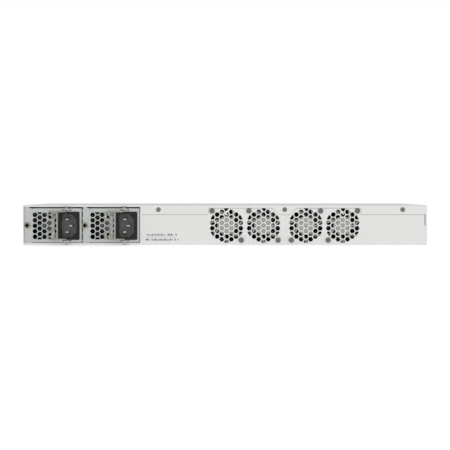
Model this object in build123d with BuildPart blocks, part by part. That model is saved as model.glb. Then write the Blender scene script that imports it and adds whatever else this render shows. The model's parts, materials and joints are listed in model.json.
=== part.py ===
from build123d import *
from math import cos, hypot, radians, sin, sqrt
import os

os.makedirs("parts", exist_ok=True)

# The rear of the switch faces -Y and its ports face +Y. The origin is the middle of the underside.

# Chassis
chassis_width = 443.0
chassis_height = 44.0
chassis_depth = 297.0
sheet = 1.0
half_width = chassis_width / 2
rear = -chassis_depth / 2
front = chassis_depth / 2
wall_outside = half_width - sheet
wall_inside = wall_outside - sheet
panel_rear = rear + sheet
panel_inside = panel_rear + sheet
cover_underside = chassis_height - sheet

# Honeycomb of every vent: flat-topped hexagons between webs 1 mm wide
cell_pitch = 6.0
cell_flats = 5.0
cell_column = cell_pitch * sqrt(3) / 2

# Rear panel, cover flange and fans
bay_left = -wall_inside
bay_right = -93.1
bay_lip_height = 2.7
flange_bottom = 33.8
flange_cutout_top = 40.9
fan_group_middle = 65.4
fan_offsets = (-63.65, -23.25, 23.25, 63.65)
fan_middles = [fan_group_middle + offset for offset in fan_offsets]
fan_height = 21.6
fan_size = 40.0
fan_depth = 28.0
fan_bore = 19.0
fan_hole_offset = 16.0
fan_screw_sides = (-1, -1, 1, 1)
cover_screw_places = [(-72.9, 39.05), (fan_group_middle, 39.05), (194.6, 39.05)]
blade_count = 7

# Power supplies
psu_middles = (-188.2, -125.0)
psu_height = 21.85
psu_plate_left = -30.6
psu_plate_right = 31.2
psu_plate_height = 37.0
psu_plate_thickness = 1.2
psu_plate_front = rear
psu_plate_back = psu_plate_front + psu_plate_thickness
psu_tab_width = 7.0
psu_case_left = -24.2
psu_case_right = 30.4
psu_case_height = 36.6
psu_case_length = 180.0
psu_case_end = psu_plate_back + psu_case_length
psu_wall = 0.8
psu_board_bottom = 10.0
board_thickness = 1.6
inlet_middle_x = 17.15
inlet_height = 21.35
handle_x = 1.2
handle_reach = 12.0
handle_radius = 2.0
handle_half_span = 11.8
bail_x = 15.0
bail_reach = 4.5
bail_radius = 1.0
bail_rest_angle = 38.0
bail_half_span = 15.2
bail_tab_half_width = 3.6
psu_fan_x = -6.4
thumbscrew_x = -28.4
thumbscrew_height = 21.75

# Front panel and ports
port_floor = 7.0
cage_depth = 48.0
cage_proud = 0.8
qsfp_width = 20.4
qsfp_opening = 18.8
qsfp_pitch = 23.2
qsfp_group_middles = (-66.75, 40.5)
qsfp_middles = [middle + (column - 1.5) * qsfp_pitch
                for middle in qsfp_group_middles for column in range(4)]
sfp_width = 15.4
sfp_opening = 13.8
sfp_middles = (104.0, 120.6)
cage_height = 30.4
cage_opening_height = 9.2
cage_wall = 0.8
rj45_middles = (142.0, 160.0)
rj45_size = (16.0, 21.0, 13.5)
status_light_places = [(192.0 + 6 * column, 31.0) for column in range(3)]
reset_place = (180.0, 12.0)
reset_travel = 0.5
intake_left = -206.0
intake_right = -126.0
intake_bottom = 8.0
intake_top = 36.0

# Rack ears
ear_span = 482.6
ear_slot_x = 465.1 / 2
ear_slot_z = 31.75 / 2
ear_height = 40.0
ear_thickness = 1.6
ear_middle = chassis_height / 2

INTO_CHASSIS = (-90, 0, 0)
FROM_BASE = (Align.CENTER, Align.CENTER, Align.MIN)


def save(piece, label):
    piece.part.label = label
    export_step(piece.part, f"parts/{label}.step")


def block(x_low, x_high, y_low, y_high, z_low, z_high, mode=Mode.ADD):
    """A box between two corners, in the active part."""
    with Locations(((x_low + x_high) / 2, (y_low + y_high) / 2, (z_low + z_high) / 2)):
        Box(x_high - x_low, y_high - y_low, z_high - z_low, mode=mode)


def rod(x, y, z, radius, length, mode=Mode.ADD):
    """A round bar that starts at a point and runs towards the front."""
    with Locations((x, y, z)):
        Cylinder(radius, length, rotation=INTO_CHASSIS, align=FROM_BASE, mode=mode)


def across(y):
    """The upright plane at y, seen from the rear: its own x is X and its own y is Z."""
    return Plane.XZ.offset(-y)


def round_vent(middle_x, middle_z, radius):
    """Centres of the hexagons that reach into a round vent."""
    cells = []
    for column in range(-4, 5):
        for row in range(-4, 5):
            x = column * cell_column
            z = (row + column % 2 / 2) * cell_pitch
            if hypot(x, z) < radius + 1:
                cells.append((middle_x + x, middle_z + z))
    return cells


# ---------------------------------------------------------------- sheet metal

with BuildPart() as chassis_base:
    block(-wall_outside, bay_right, panel_rear, front - sheet, 0, sheet)
    block(bay_right, wall_outside, panel_inside, front - sheet, 0, sheet)
    block(-wall_outside, bay_right, panel_rear, panel_inside, sheet, bay_lip_height)
    for side in (-1, 1):
        inner, outer = sorted((side * wall_inside, side * wall_outside))
        wall_rear = panel_rear if side > 0 else panel_inside
        block(inner, outer, wall_rear, front - sheet, sheet, cover_underside - 0.5)
        for y in (-100, -20, 60):
            with Locations((side * wall_outside, y, ear_middle)):
                Cylinder(1.25, 4, rotation=(0, 90, 0), mode=Mode.SUBTRACT)
        for y in (112, 136):
            for z in (10, 34):
                with Locations((side * wall_outside, y, z)):
                    Cylinder(1.45, 4, rotation=(0, 90, 0), mode=Mode.SUBTRACT)
save(chassis_base, "chassis_base")

with BuildPart() as rear_panel:
    block(bay_right, wall_inside, panel_rear, panel_inside, 0, cover_underside - 0.1)
    fillet(rear_panel.edges().filter_by(Axis.X).group_by(Axis.Z)[0].sort_by(Axis.Y)[0], 0.8)
    block(wall_inside - 0.8, wall_inside, panel_rear, panel_inside, 21.6, flange_bottom, Mode.SUBTRACT)
    for middle in fan_middles:
        with BuildSketch(across(panel_rear)) as vent:
            with Locations(*round_vent(middle, fan_height, fan_bore)):
                RegularPolygon(cell_flats / 2, 6, major_radius=False)
            with Locations((middle, fan_height)):
                Circle(fan_bore, mode=Mode.INTERSECT)
        extrude(amount=-sheet, mode=Mode.SUBTRACT)
    for middle, side in zip(fan_middles, fan_screw_sides):
        for x, z in ((side, 1), (-side, -1)):
            rod(middle + x * fan_hole_offset, rear, fan_height + z * fan_hole_offset, 1.8, 4, Mode.SUBTRACT)
    for x, z in cover_screw_places:
        rod(x, rear, z, 1.25, 4, Mode.SUBTRACT)
save(rear_panel, "rear_panel")

with BuildPart() as top_cover:
    block(-half_width, half_width, rear, front, cover_underside, chassis_height)
    for side in (-1, 1):
        inner, outer = sorted((side * wall_outside, side * half_width))
        block(inner, outer, rear, front - sheet, 0.4, cover_underside)
    block(bay_right + 1.1, wall_outside, rear, panel_rear, flange_bottom, cover_underside)
    block(-wall_outside, bay_right + 1.1, rear, panel_rear, cover_underside - 1, cover_underside)
    fillet(top_cover.edges().filter_by(Axis.Y).group_by(Axis.Z)[-1], 0.9)
    fillet(top_cover.edges().filter_by(Axis.X).group_by(Axis.Z)[-1].sort_by(Axis.Y)[0], 0.9)
    for side in (-1, 1):
        with BuildSketch(across(rear)) as fan_cutout:
            with BuildLine():
                Polyline((fan_group_middle + side * 4.9, flange_bottom - 1),
                         (fan_group_middle + side * 13.0, flange_cutout_top),
                         (fan_group_middle + side * 84.0, flange_cutout_top),
                         (fan_group_middle + side * 84.0, flange_bottom - 1), close=True)
            make_face()
            corners = fan_cutout.vertices().sort_by(Axis.X)
            outer_corners = corners[-2:] if side > 0 else corners[:2]
            fillet(outer_corners.sort_by(Axis.Y)[-1], 2.0)
        extrude(amount=-sheet, mode=Mode.SUBTRACT)
    for x, z in cover_screw_places:
        with Locations((x, rear, z)):
            Cone(2.8, 1.6, sheet, rotation=INTO_CHASSIS, align=FROM_BASE, mode=Mode.SUBTRACT)
    for side in (-1, 1):
        for y in (-100, -20, 60):
            with Locations((side * half_width, y, ear_middle)):
                Cone(2.8, 1.6, sheet, rotation=(0, -side * 90, 0), align=FROM_BASE, mode=Mode.SUBTRACT)
        for y in (112, 136):
            for z in (10, 34):
                with Locations((side * half_width, y, z)):
                    Cylinder(1.6, 4, rotation=(0, 90, 0), mode=Mode.SUBTRACT)
    for middle in qsfp_middles:
        block(middle - 10.5, middle + 10.5, front - 9, front, cover_underside, chassis_height, Mode.SUBTRACT)
save(top_cover, "top_cover")

with BuildPart() as front_panel:
    block(-half_width, half_width, front - sheet, front, 0, cover_underside)
    block(-wall_inside + 1, wall_inside - 1, front - 11, front - sheet, sheet, 2 * sheet)
    block(-wall_inside + 1, wall_inside - 1, front - 11, front - sheet,
          cover_underside - sheet, cover_underside)
    block(intake_left, intake_right, front - sheet, front, intake_bottom, intake_top, Mode.SUBTRACT)
    for middle in qsfp_middles:
        block(middle - qsfp_width / 2, middle + qsfp_width / 2, front - sheet, front,
              port_floor, port_floor + cage_height, Mode.SUBTRACT)
    for middle in sfp_middles:
        block(middle - sfp_width / 2, middle + sfp_width / 2, front - sheet, front,
              port_floor, port_floor + cage_height, Mode.SUBTRACT)
    for middle in rj45_middles:
        block(middle - rj45_size[0] / 2, middle + rj45_size[0] / 2, front - sheet, front,
              port_floor, port_floor + rj45_size[2], Mode.SUBTRACT)
    for x, z in status_light_places:
        rod(x, front - 2, z, 1.25, 4, Mode.SUBTRACT)
    rod(reset_place[0], front - 2, reset_place[1], 1.6, 4, Mode.SUBTRACT)
save(front_panel, "front_panel")

with BuildPart() as intake_grille:
    block(intake_left - 4, intake_right + 4, front - 1.8, front - sheet, intake_bottom - 3, intake_top + 3)
    intake_columns = int((intake_right - intake_left - cell_pitch) / cell_column)
    intake_middle = (intake_left + intake_right) / 2
    with BuildSketch(across(front - 1.8)) as intake_cells:
        for column in range(intake_columns + 1):
            rows = 4 + column % 2
            with Locations((intake_middle + (column - intake_columns / 2) * cell_column, 22)):
                with GridLocations(cell_pitch, cell_pitch, 1, rows):
                    RegularPolygon(cell_flats / 2, 6, major_radius=False)
    extrude(amount=-0.8, mode=Mode.SUBTRACT)
save(intake_grille, "intake_grille")

for side, label in ((-1, "rack_ear_left"), (1, "rack_ear_right")):
    with BuildPart() as ear:
        leg_low, leg_high = sorted((side * half_width, side * (half_width + ear_thickness)))
        block(leg_low, leg_high, 104, front, ear_middle - ear_height / 2, ear_middle + ear_height / 2)
        face_low, face_high = sorted((side * half_width, side * ear_span / 2))
        block(face_low, face_high, front - ear_thickness, front,
              ear_middle - ear_height / 2, ear_middle + ear_height / 2)
        outer_edges = ear.edges().filter_by(Axis.Y).group_by(Axis.X)[-1 if side > 0 else 0]
        fillet(outer_edges, 2.5)
        with BuildSketch(across(front)) as slots:
            with Locations((side * ear_slot_x, ear_middle - ear_slot_z),
                           (side * ear_slot_x, ear_middle + ear_slot_z)):
                SlotOverall(10.0, 6.4)
        extrude(amount=2 * ear_thickness, mode=Mode.SUBTRACT)
        for y in (112, 136):
            for z in (10, 34):
                with Locations((side * (half_width + ear_thickness / 2), y, z)):
                    Cylinder(1.6, 4, rotation=(0, 90, 0), mode=Mode.SUBTRACT)
    save(ear, label)

divider_left = psu_middles[1] + psu_plate_left
divider_start = rear + 8.3
flange_front = psu_plate_back + 0.2
flange_back = flange_front + 1.5
flange_foot = bay_lip_height + 0.2
divider_top = cover_underside - 0.5
with BuildPart() as bay_divider:
    block(divider_left, divider_left + sheet, divider_start, psu_case_end, sheet, divider_top)
    block(bay_right, bay_right + sheet, panel_inside, psu_case_end, sheet, divider_top)
save(bay_divider, "bay_divider")

# Each thumbscrew turns into a flange that stands beside its power supply. The right-hand flange
# is the front of a channel on the divider, and the left-hand one is a bracket on the side wall.
flange_reach = flange_front + 18
channel_right = divider_left + 5.9
flange_top = 40.4
with BuildPart() as screw_flanges:
    block(divider_left, channel_right, flange_front, flange_back, flange_foot, flange_top)
    block(channel_right - sheet, channel_right, flange_front, flange_reach, flange_foot, flange_top)
    block(divider_left + sheet, channel_right, flange_reach - sheet, flange_reach, flange_foot, flange_top)
    block(bay_left, bay_left + sheet, flange_front, flange_reach, flange_foot, flange_top)
    block(bay_left, bay_left + 6.6, flange_front, flange_back, flange_foot, flange_top)
    for middle in psu_middles:
        rod(middle + thumbscrew_x, flange_front - 1, thumbscrew_height, 1.55, 4, Mode.SUBTRACT)
save(screw_flanges, "screw_flanges")

with BuildPart() as bay_rails:
    for middle in psu_middles:
        for offset in (-15.0, 18.0):
            block(middle + offset - 4, middle + offset + 4, panel_inside, psu_case_end,
                  sheet, psu_height - psu_case_height / 2 - 0.1)
save(bay_rails, "bay_rails")

with BuildPart() as emi_fingers:
    block(divider_left - 0.2, divider_left, flange_front, flange_front + 6, 4, 40)
    for x_low, x_high in ((divider_left - 1.0, divider_left), (bay_left, bay_left + 0.5)):
        for finger in range(5):
            finger_middle = 21.5 + (finger - 2) * 8.2
            block(x_low, x_high, flange_front - 1.0, flange_front, finger_middle - 0.6, finger_middle + 0.6)
save(emi_fingers, "emi_fingers")

# ---------------------------------------------------------------- screws

with BuildPart() as cover_screws:
    for x, z in cover_screw_places:
        with Locations((x, rear + 0.05, z)):
            Cone(2.7, 1.5, sheet - 0.05, rotation=INTO_CHASSIS, align=FROM_BASE)
        rod(x, rear + sheet, z, 1.2, 4)
        rod(x, rear, z, 1.0, 0.8, Mode.SUBTRACT)
save(cover_screws, "cover_screws")

with BuildPart() as side_screws:
    for side in (-1, 1):
        for y in (-100, -20, 60):
            with Locations((side * (half_width - 0.05), y, ear_middle)):
                Cone(2.7, 1.5, sheet - 0.05, rotation=(0, -side * 90, 0), align=FROM_BASE)
                Cylinder(1.2, 4, rotation=(0, -side * 90, 0), align=FROM_BASE)
            with Locations((side * half_width, y, ear_middle)):
                Cylinder(1.0, 0.8, rotation=(0, -side * 90, 0), align=FROM_BASE, mode=Mode.SUBTRACT)
save(side_screws, "side_screws")

with BuildPart() as ear_screws:
    for side in (-1, 1):
        outer_face = side * (half_width + ear_thickness)
        for y in (112, 136):
            for z in (10, 34):
                with Locations((outer_face, y, z)):
                    Cylinder(3.0, 1.8, rotation=(0, side * 90, 0), align=FROM_BASE)
                    Cylinder(1.4, 5.5, rotation=(0, -side * 90, 0), align=FROM_BASE)
                with Locations((outer_face + side * 1.8, y, z)):
                    Cylinder(1.2, 1.2, rotation=(0, -side * 90, 0), align=FROM_BASE, mode=Mode.SUBTRACT)
save(ear_screws, "ear_screws")

fan_screw_places = []
for middle, side in zip(fan_middles, fan_screw_sides):
    for x, z in ((side, 1), (-side, -1)):
        fan_screw_places.append((middle + x * fan_hole_offset, fan_height + z * fan_hole_offset))
with BuildPart() as fan_screws:
    for x, z in fan_screw_places:
        rod(x, panel_rear - 1.6, z, 2.85, 1.6)
        rod(x, panel_rear, z, 1.7, 9)
    fillet(fan_screws.edges().filter_by(GeomType.CIRCLE).group_by(Axis.Y)[0], 0.7)
save(fan_screws, "fan_screws")

# ---------------------------------------------------------------- fans


def blade_outline(root_radius, tip_radius, turn):
    """Corners and mid points of a swept blade 1.6 mm thick, whose angle grows with its radius."""
    sides = []
    for edge in (-0.8, 0.8):
        points = []
        for radius in (root_radius, (root_radius + tip_radius) / 2, tip_radius):
            sweep_share = (radius - root_radius) / (tip_radius - root_radius)
            angle = radians(turn - 19 + 26 * sweep_share) + edge / radius
            points.append((radius * cos(angle), radius * sin(angle)))
        sides.append(points)
    return sides


def add_blades(middle_x, middle_z, y_start, y_end, root_radius, tip_radius, first_angle):
    """Swept blades that also twist a little along the axis, in the active part."""
    for blade in range(blade_count):
        angle = first_angle + blade * 360 / blade_count
        sections = []
        for y, turn in ((y_start, angle), (y_end, angle - 9)):
            with BuildSketch(Plane(origin=(middle_x, y, middle_z), x_dir=(1, 0, 0), z_dir=(0, -1, 0))) as section:
                with BuildLine():
                    lower, upper = blade_outline(root_radius, tip_radius, turn)
                    ThreePointArc(*lower)
                    ThreePointArc(*upper)
                    Line(lower[0], upper[0])
                    Line(lower[2], upper[2])
                make_face()
            sections.append(section.sketch)
        loft(sections)


def fan_frame(middle_x, middle_z, y_rear, size, depth, bore, hub_radius, hole_offset, lead_notch=None):
    """Square frame whose guide vanes carry the motor base, the stator and the bearing."""
    base_rear = y_rear + 1.2
    with BuildPart() as frame:
        add_blades(middle_x, middle_z, base_rear, base_rear + depth * 0.18, hub_radius - 0.6, bore + 0.4, 14)
        with BuildSketch(across(y_rear)):
            with Locations((middle_x, middle_z)):
                RectangleRounded(size, size, 3)
                Circle(bore, mode=Mode.SUBTRACT)
                with GridLocations(2 * hole_offset, 2 * hole_offset, 2, 2):
                    Circle(1.75, mode=Mode.SUBTRACT)
        extrude(amount=-depth)
        rod(middle_x, base_rear, middle_z, hub_radius, depth * 0.11)
        rod(middle_x, base_rear, middle_z, 2.2, depth * 0.72)
        rod(middle_x, base_rear + depth * 0.2, middle_z, hub_radius * 0.68, depth * 0.46)
        rod(middle_x, base_rear + depth * 0.15, middle_z, 1.05, depth, Mode.SUBTRACT)
        if lead_notch is not None:
            block(middle_x + lead_notch - 1.4, middle_x + lead_notch + 1.4, y_rear, y_rear + 1.5,
                  middle_z + bore - 1.5, middle_z + size / 2, Mode.SUBTRACT)
    return frame


def fan_impeller(middle_x, middle_z, y_rear, hub_radius, tip_radius, depth):
    """Cup that opens towards the motor base, with a shaft in its middle and swept blades."""
    cup_rear = y_rear + 1.2 + depth * 0.26
    cup_front = y_rear + depth * 0.95
    with BuildPart() as impeller:
        rod(middle_x, cup_rear, middle_z, hub_radius, cup_front - cup_rear)
        fillet(impeller.edges().group_by(Axis.Y)[-1], 0.8)
        rod(middle_x, cup_rear, middle_z, hub_radius - 1.0, cup_front - cup_rear - 1.4, Mode.SUBTRACT)
        rod(middle_x, cup_rear, middle_z, 1.0, cup_front - cup_rear - 1)
        add_blades(middle_x, middle_z, cup_rear + 0.5, cup_front - 1.0, hub_radius - 0.5, tip_radius, 40)
    return impeller


# Each pair of leads leaves the stator, comes forward between two vanes, and crosses a notch in the
# frame to run over its top. The routes are X and Z from the fan's middle, where the leads are in front.
lead_routes = [
    [(0.8, 11.6), (-1.9, 12.9), (2.8, 17.8), (2.8, 20.7)],
    [(-0.4, 15.2), (-3.0, 18.2), (-3.0, 20.7)],
    [(-0.4, 15.2), (-3.0, 18.2), (-3.0, 20.7)],
    [(0.8, 12.4), (-2.6, 17.2), (-3.0, 20.7)],
]
lead_radius = 0.5
lead_spacing = 0.55
lead_y = panel_inside + 0.6
lead_deep_y = panel_inside + 7.4
lead_drop_y = panel_inside + fan_depth + 4

for number, middle in enumerate(fan_middles, start=1):
    notch = lead_routes[number - 1][-1][0]
    frame = fan_frame(middle, fan_height, panel_inside, fan_size, fan_depth, fan_bore, 10,
                      fan_hole_offset, notch)
    save(frame, f"fan_{number}_frame")
    impeller = fan_impeller(middle, fan_height, panel_inside, 9.6, 18.3, fan_depth)
    save(impeller, f"fan_{number}_impeller")

with BuildPart() as fan_leads:
    for middle, route in zip(fan_middles, lead_routes):
        for side in (-lead_spacing, lead_spacing):
            first_x, first_z = route[0]
            corners = [Vector(middle + first_x + side, lead_deep_y, fan_height + 7.0),
                       Vector(middle + first_x + side, lead_deep_y, fan_height + first_z)]
            corners += [Vector(middle + x + side, lead_y, fan_height + z) for x, z in route]
            corners.append(Vector(corners[-1].X, lead_drop_y, corners[-1].Z))
            corners.append(Vector(corners[-1].X, lead_drop_y, port_floor + 1))
            with BuildLine():
                FilletPolyline(*corners, radius=1.0)
            with BuildSketch(Plane(origin=corners[0], z_dir=corners[1] - corners[0])):
                Circle(lead_radius)
            sweep()
save(fan_leads, "fan_leads")

# ---------------------------------------------------------------- power supplies


def psu_vent_cells(middle):
    """The vent's columns thin out towards the pull handle, whose feet take the last corners."""
    cells = []
    for column in range(5):
        rows = (-2, -1, 0, 1, 2) if column % 2 == 0 else (-2.5, -1.5, -0.5, 0.5, 1.5, 2.5)
        if column == 4:
            rows = (-1, 0, 1)
        for row in rows:
            cells.append((middle - 19.9 + column * cell_column, inlet_height + row * cell_pitch))
    return cells


def psu_case(middle):
    left = middle + psu_case_left
    right = middle + psu_case_right
    bottom = psu_height - psu_case_height / 2
    top = psu_height + psu_case_height / 2
    with BuildPart() as case:
        block(left, right, psu_plate_back, psu_case_end, bottom, top)
        block(left + psu_wall, right - psu_wall, psu_plate_back, psu_case_end - psu_wall,
              bottom + psu_wall, top - psu_wall, Mode.SUBTRACT)
        block(middle - 14, middle + 20, psu_case_end - psu_wall, psu_case_end,
              psu_board_bottom - 0.3, psu_board_bottom + board_thickness + 0.3, Mode.SUBTRACT)
        for slot in range(6):
            slot_x = middle - 16 + slot * 7
            block(slot_x, slot_x + 4, psu_case_end - psu_wall, psu_case_end, 18, 36, Mode.SUBTRACT)
    return case


def psu_faceplate(middle):
    left = middle + psu_plate_left
    right = middle + psu_plate_right
    with BuildPart() as faceplate:
        block(left, right, psu_plate_front, psu_plate_back,
              psu_height - psu_plate_height / 2, psu_height + psu_plate_height / 2)
        block(left, left + psu_tab_width, psu_plate_front, psu_plate_back,
              bay_lip_height + 0.15, cover_underside - 1.15)
        with BuildSketch(across(psu_plate_front)) as vent:
            with Locations(*psu_vent_cells(middle)):
                RegularPolygon(cell_flats / 2, 6, major_radius=False)
            with Locations((middle, inlet_height)):
                Rectangle(60, 30, mode=Mode.INTERSECT)
        extrude(amount=-psu_plate_thickness, mode=Mode.SUBTRACT)
        block(middle + 6.4, middle + 27.9, psu_plate_front, psu_plate_back,
              inlet_height - 14.0, inlet_height + 14.0, Mode.SUBTRACT)
        rod(middle + thumbscrew_x, rear - 1, thumbscrew_height, 1.6, 4, Mode.SUBTRACT)
        for side in (-1, 1):
            rod(middle + handle_x, rear - 1, psu_height + side * handle_half_span, 1.5, 4, Mode.SUBTRACT)
            slit_low, slit_high = sorted((psu_height + side * 15.6, psu_height + side * 17.3))
            for slit_x in (bail_x - bail_tab_half_width - 0.5, bail_x + bail_tab_half_width + 0.5):
                block(middle + slit_x - 0.5, middle + slit_x + 0.5, psu_plate_front, psu_plate_back,
                      slit_low, slit_high, Mode.SUBTRACT)
        block(left + 4.6, left + psu_tab_width, psu_plate_front, psu_plate_back, 40.7, 42.0, Mode.SUBTRACT)
        block(left + psu_tab_width, left + psu_tab_width + 1.2, psu_plate_front, psu_plate_back,
              39.2, 40.6, Mode.SUBTRACT)
    return faceplate


def psu_bail_tabs(middle):
    """Two stamped ears riveted on the plate's edges, each with a hole for one end of the wire."""
    with BuildPart() as tabs:
        for side in (-1, 1):
            outer = psu_height + side * psu_plate_height / 2
            inner = outer - side * 1.2
            foot = outer - side * 2.0
            low, high = sorted((inner, outer))
            block(middle + bail_x - bail_tab_half_width, middle + bail_x + bail_tab_half_width,
                  rear - 7.5, rear, low, high)
            low, high = sorted((foot, outer))
            block(middle + bail_x - bail_tab_half_width, middle + bail_x + bail_tab_half_width,
                  rear - 0.8, rear, low, high)
        fillet(tabs.edges().filter_by(Axis.Z).group_by(Axis.Y)[0], 3.0)
        with Locations((middle + bail_x, rear - bail_reach, psu_height)):
            Cylinder(bail_radius + 0.05, 60, mode=Mode.SUBTRACT)
    return tabs


def inlet_pin_boxes(middle):
    """Low and high X and Z of the two line pins and the earth pin."""
    boxes = []
    for x, z in ((15.2, -7.0), (15.2, 7.0), (19.2, 0.0)):
        boxes.append((middle + x - 2, middle + x + 2, inlet_height + z - 1, inlet_height + z + 1))
    return boxes


def psu_inlet(middle):
    with BuildPart() as inlet:
        with BuildSketch(across(rear)):
            with Locations((middle + inlet_middle_x, inlet_height)):
                RectangleRounded(23.7, 30.9, 1.5)
        extrude(amount=1.6)
        fillet(inlet.edges().group_by(Axis.Y)[0], 0.5)
        block(middle + 6.6, middle + 27.7, rear, rear + 20, inlet_height - 13.8, inlet_height + 13.8)
        with BuildSketch(across(rear - 1.6)):
            with BuildLine():
                FilletPolyline((middle + 8.8, inlet_height - 12.85), (middle + 19.6, inlet_height - 12.85),
                               (middle + 25.6, inlet_height - 6.85), (middle + 25.6, inlet_height + 6.85),
                               (middle + 19.6, inlet_height + 12.85), (middle + 8.8, inlet_height + 12.85),
                               radius=1.2, close=True)
            make_face()
        extrude(amount=-16.5, mode=Mode.SUBTRACT)
        for x_low, x_high, z_low, z_high in inlet_pin_boxes(middle):
            block(x_low, x_high, rear, rear + 20, z_low, z_high, Mode.SUBTRACT)
    return inlet


def psu_inlet_pins(middle):
    with BuildPart() as pins:
        for x_low, x_high, z_low, z_high in inlet_pin_boxes(middle):
            block(x_low, x_high, rear - 0.2, rear + 25, z_low, z_high)
        fillet(pins.edges().group_by(Axis.Y)[0], 0.6)
    return pins


def psu_handle(middle):
    """A bent bar whose two reduced feet are riveted through the plate."""
    x = middle + handle_x
    low = psu_height - handle_half_span
    high = psu_height + handle_half_span
    with BuildPart() as handle:
        with BuildLine():
            FilletPolyline((x, rear, low), (x, rear - handle_reach, low),
                           (x, rear - handle_reach, high), (x, rear, high), radius=4.5)
        with BuildSketch(Plane(origin=(x, rear, low), z_dir=(0, -1, 0))):
            Circle(handle_radius)
        sweep()
        for z in (low, high):
            rod(x, rear, z, 1.5, psu_plate_thickness + 0.6)
    return handle


def psu_bail(middle):
    """A wire loop: its ends turn in the tabs, and its crossbar dips to clear a plug's cord."""
    pivot = Vector(middle + bail_x, rear - bail_reach, psu_height)
    outwards = Vector(-cos(radians(bail_rest_angle)), -sin(radians(bail_rest_angle)), 0)
    loop_plane = Plane(origin=pivot, x_dir=outwards, z_dir=outwards.cross(Vector(0, 0, 1)))
    half_loop = [(0, 21.3), (0, bail_half_span), (24.4, bail_half_span), (24.4, 7.0), (17.8, 7.0)]
    route = half_loop + [(across_arm, -along) for across_arm, along in reversed(half_loop)]
    bend_radii = [1.5, 3.0, 2.0, 4.5, 4.5, 2.0, 3.0, 1.5]
    with BuildPart() as bail:
        with BuildLine(loop_plane):
            FilletPolyline(*route, radius=bend_radii)
        with BuildSketch(Plane(origin=pivot + Vector(0, 0, 21.3), z_dir=(0, 0, -1))):
            Circle(bail_radius)
        sweep()
    return bail


def psu_thumbscrew(middle):
    """Captive screw: a knurled head with a deep star recess, and its shank through the plate."""
    x = middle + thumbscrew_x
    star = []
    for corner in range(8):
        radius = 2.25 if corner % 2 == 0 else 1.25
        angle = radians(45 * corner)
        star.append((x + radius * cos(angle), thumbscrew_height + radius * sin(angle)))
    with BuildPart() as thumbscrew:
        with BuildSketch(across(rear - 0.1)):
            with Locations((x, thumbscrew_height)):
                Circle(3.3)
                with PolarLocations(3.35, 20):
                    Circle(0.2, mode=Mode.SUBTRACT)
        extrude(amount=3.3)
        rod(x, rear - 0.2, thumbscrew_height, 1.5, 8)
        with BuildSketch(across(rear - 3.4)):
            with BuildLine():
                Polyline(*star, close=True)
            make_face()
        extrude(amount=-2.8, mode=Mode.SUBTRACT)
    return thumbscrew


def psu_board(middle):
    """Circuit board with its edge contacts, transformer, heatsink bar and capacitors."""
    board_top = psu_board_bottom + board_thickness
    board_start = rear + 26
    with BuildPart() as board:
        block(middle - 22, middle + 28, board_start, psu_case_end - 2, psu_board_bottom, board_top)
        block(middle - 13, middle + 19, psu_case_end - 2, psu_case_end + 8, psu_board_bottom, board_top)
        block(middle - 16, middle + 10, board_start + 62, board_start + 94, board_top, board_top + 22)
        block(middle + 20, middle + 24, board_start + 10, board_start + 130, board_top, board_top + 24)
        for y in (24, 44):
            with Locations((middle + 4, board_start + y, board_top)):
                Cylinder(8.5, 22, align=FROM_BASE)
        for y in (108, 124):
            with Locations((middle - 8, board_start + y, board_top)):
                Cylinder(5, 18, align=FROM_BASE)
    return board


for number, middle in enumerate(psu_middles, start=1):
    save(psu_case(middle), f"psu_{number}_case")
    save(psu_faceplate(middle), f"psu_{number}_faceplate")
    save(psu_bail_tabs(middle), f"psu_{number}_bail_tabs")
    save(psu_inlet(middle), f"psu_{number}_inlet")
    save(psu_inlet_pins(middle), f"psu_{number}_inlet_pins")
    save(psu_handle(middle), f"psu_{number}_handle")
    save(psu_bail(middle), f"psu_{number}_bail")
    save(psu_thumbscrew(middle), f"psu_{number}_thumbscrew")
    save(psu_board(middle), f"psu_{number}_board")
    frame = fan_frame(middle + psu_fan_x, inlet_height, rear + 7, 25, 15, 11.6, 6.5, 10.2)
    save(frame, f"psu_{number}_fan_frame")
    impeller = fan_impeller(middle + psu_fan_x, inlet_height, rear + 7, 6.3, 11.1, 15)
    save(impeller, f"psu_{number}_fan_impeller")

# ---------------------------------------------------------------- main board

board_bottom = port_floor - board_thickness
board_rear = -108.0
board_front = front - 6.5
main_board_outline = [(-215, psu_case_end + 0.5), (-88, psu_case_end + 0.5), (-88, board_rear),
                      (215, board_rear), (215, board_front), (-215, board_front)]
standoff_places = [(-205, 60), (-205, 125), (-122, 125), (-75, -98), (-75, 15), (60, -98),
                   (205, -98), (205, 15), (205, 125)]

with BuildPart() as main_board:
    with BuildSketch(Plane.XY.offset(board_bottom)):
        with BuildLine():
            Polyline(*main_board_outline, close=True)
        make_face()
        with Locations(*standoff_places):
            Circle(1.5, mode=Mode.SUBTRACT)
    extrude(amount=board_thickness)
save(main_board, "main_board")

with BuildPart() as board_standoffs:
    for x, y in standoff_places:
        with Locations((x, y, sheet)):
            Cylinder(3.0, board_bottom - sheet, align=FROM_BASE)
            Cylinder(1.45, board_bottom - sheet, align=FROM_BASE, mode=Mode.SUBTRACT)
save(board_standoffs, "board_standoffs")

with BuildPart() as board_screws:
    for x, y in standoff_places:
        with Locations((x, y, port_floor)):
            Cylinder(2.8, 1.7, align=FROM_BASE)
        with Locations((x, y, sheet + 0.5)):
            Cylinder(1.4, port_floor - sheet, align=FROM_BASE)
save(board_screws, "board_screws")

switch_chip_middle = (20.0, 10.0)
chip_top = port_floor + 3.2
with BuildPart() as switch_chip:
    with Locations((*switch_chip_middle, port_floor)):
        Box(45, 45, chip_top - port_floor, align=FROM_BASE)
save(switch_chip, "switch_chip")


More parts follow.
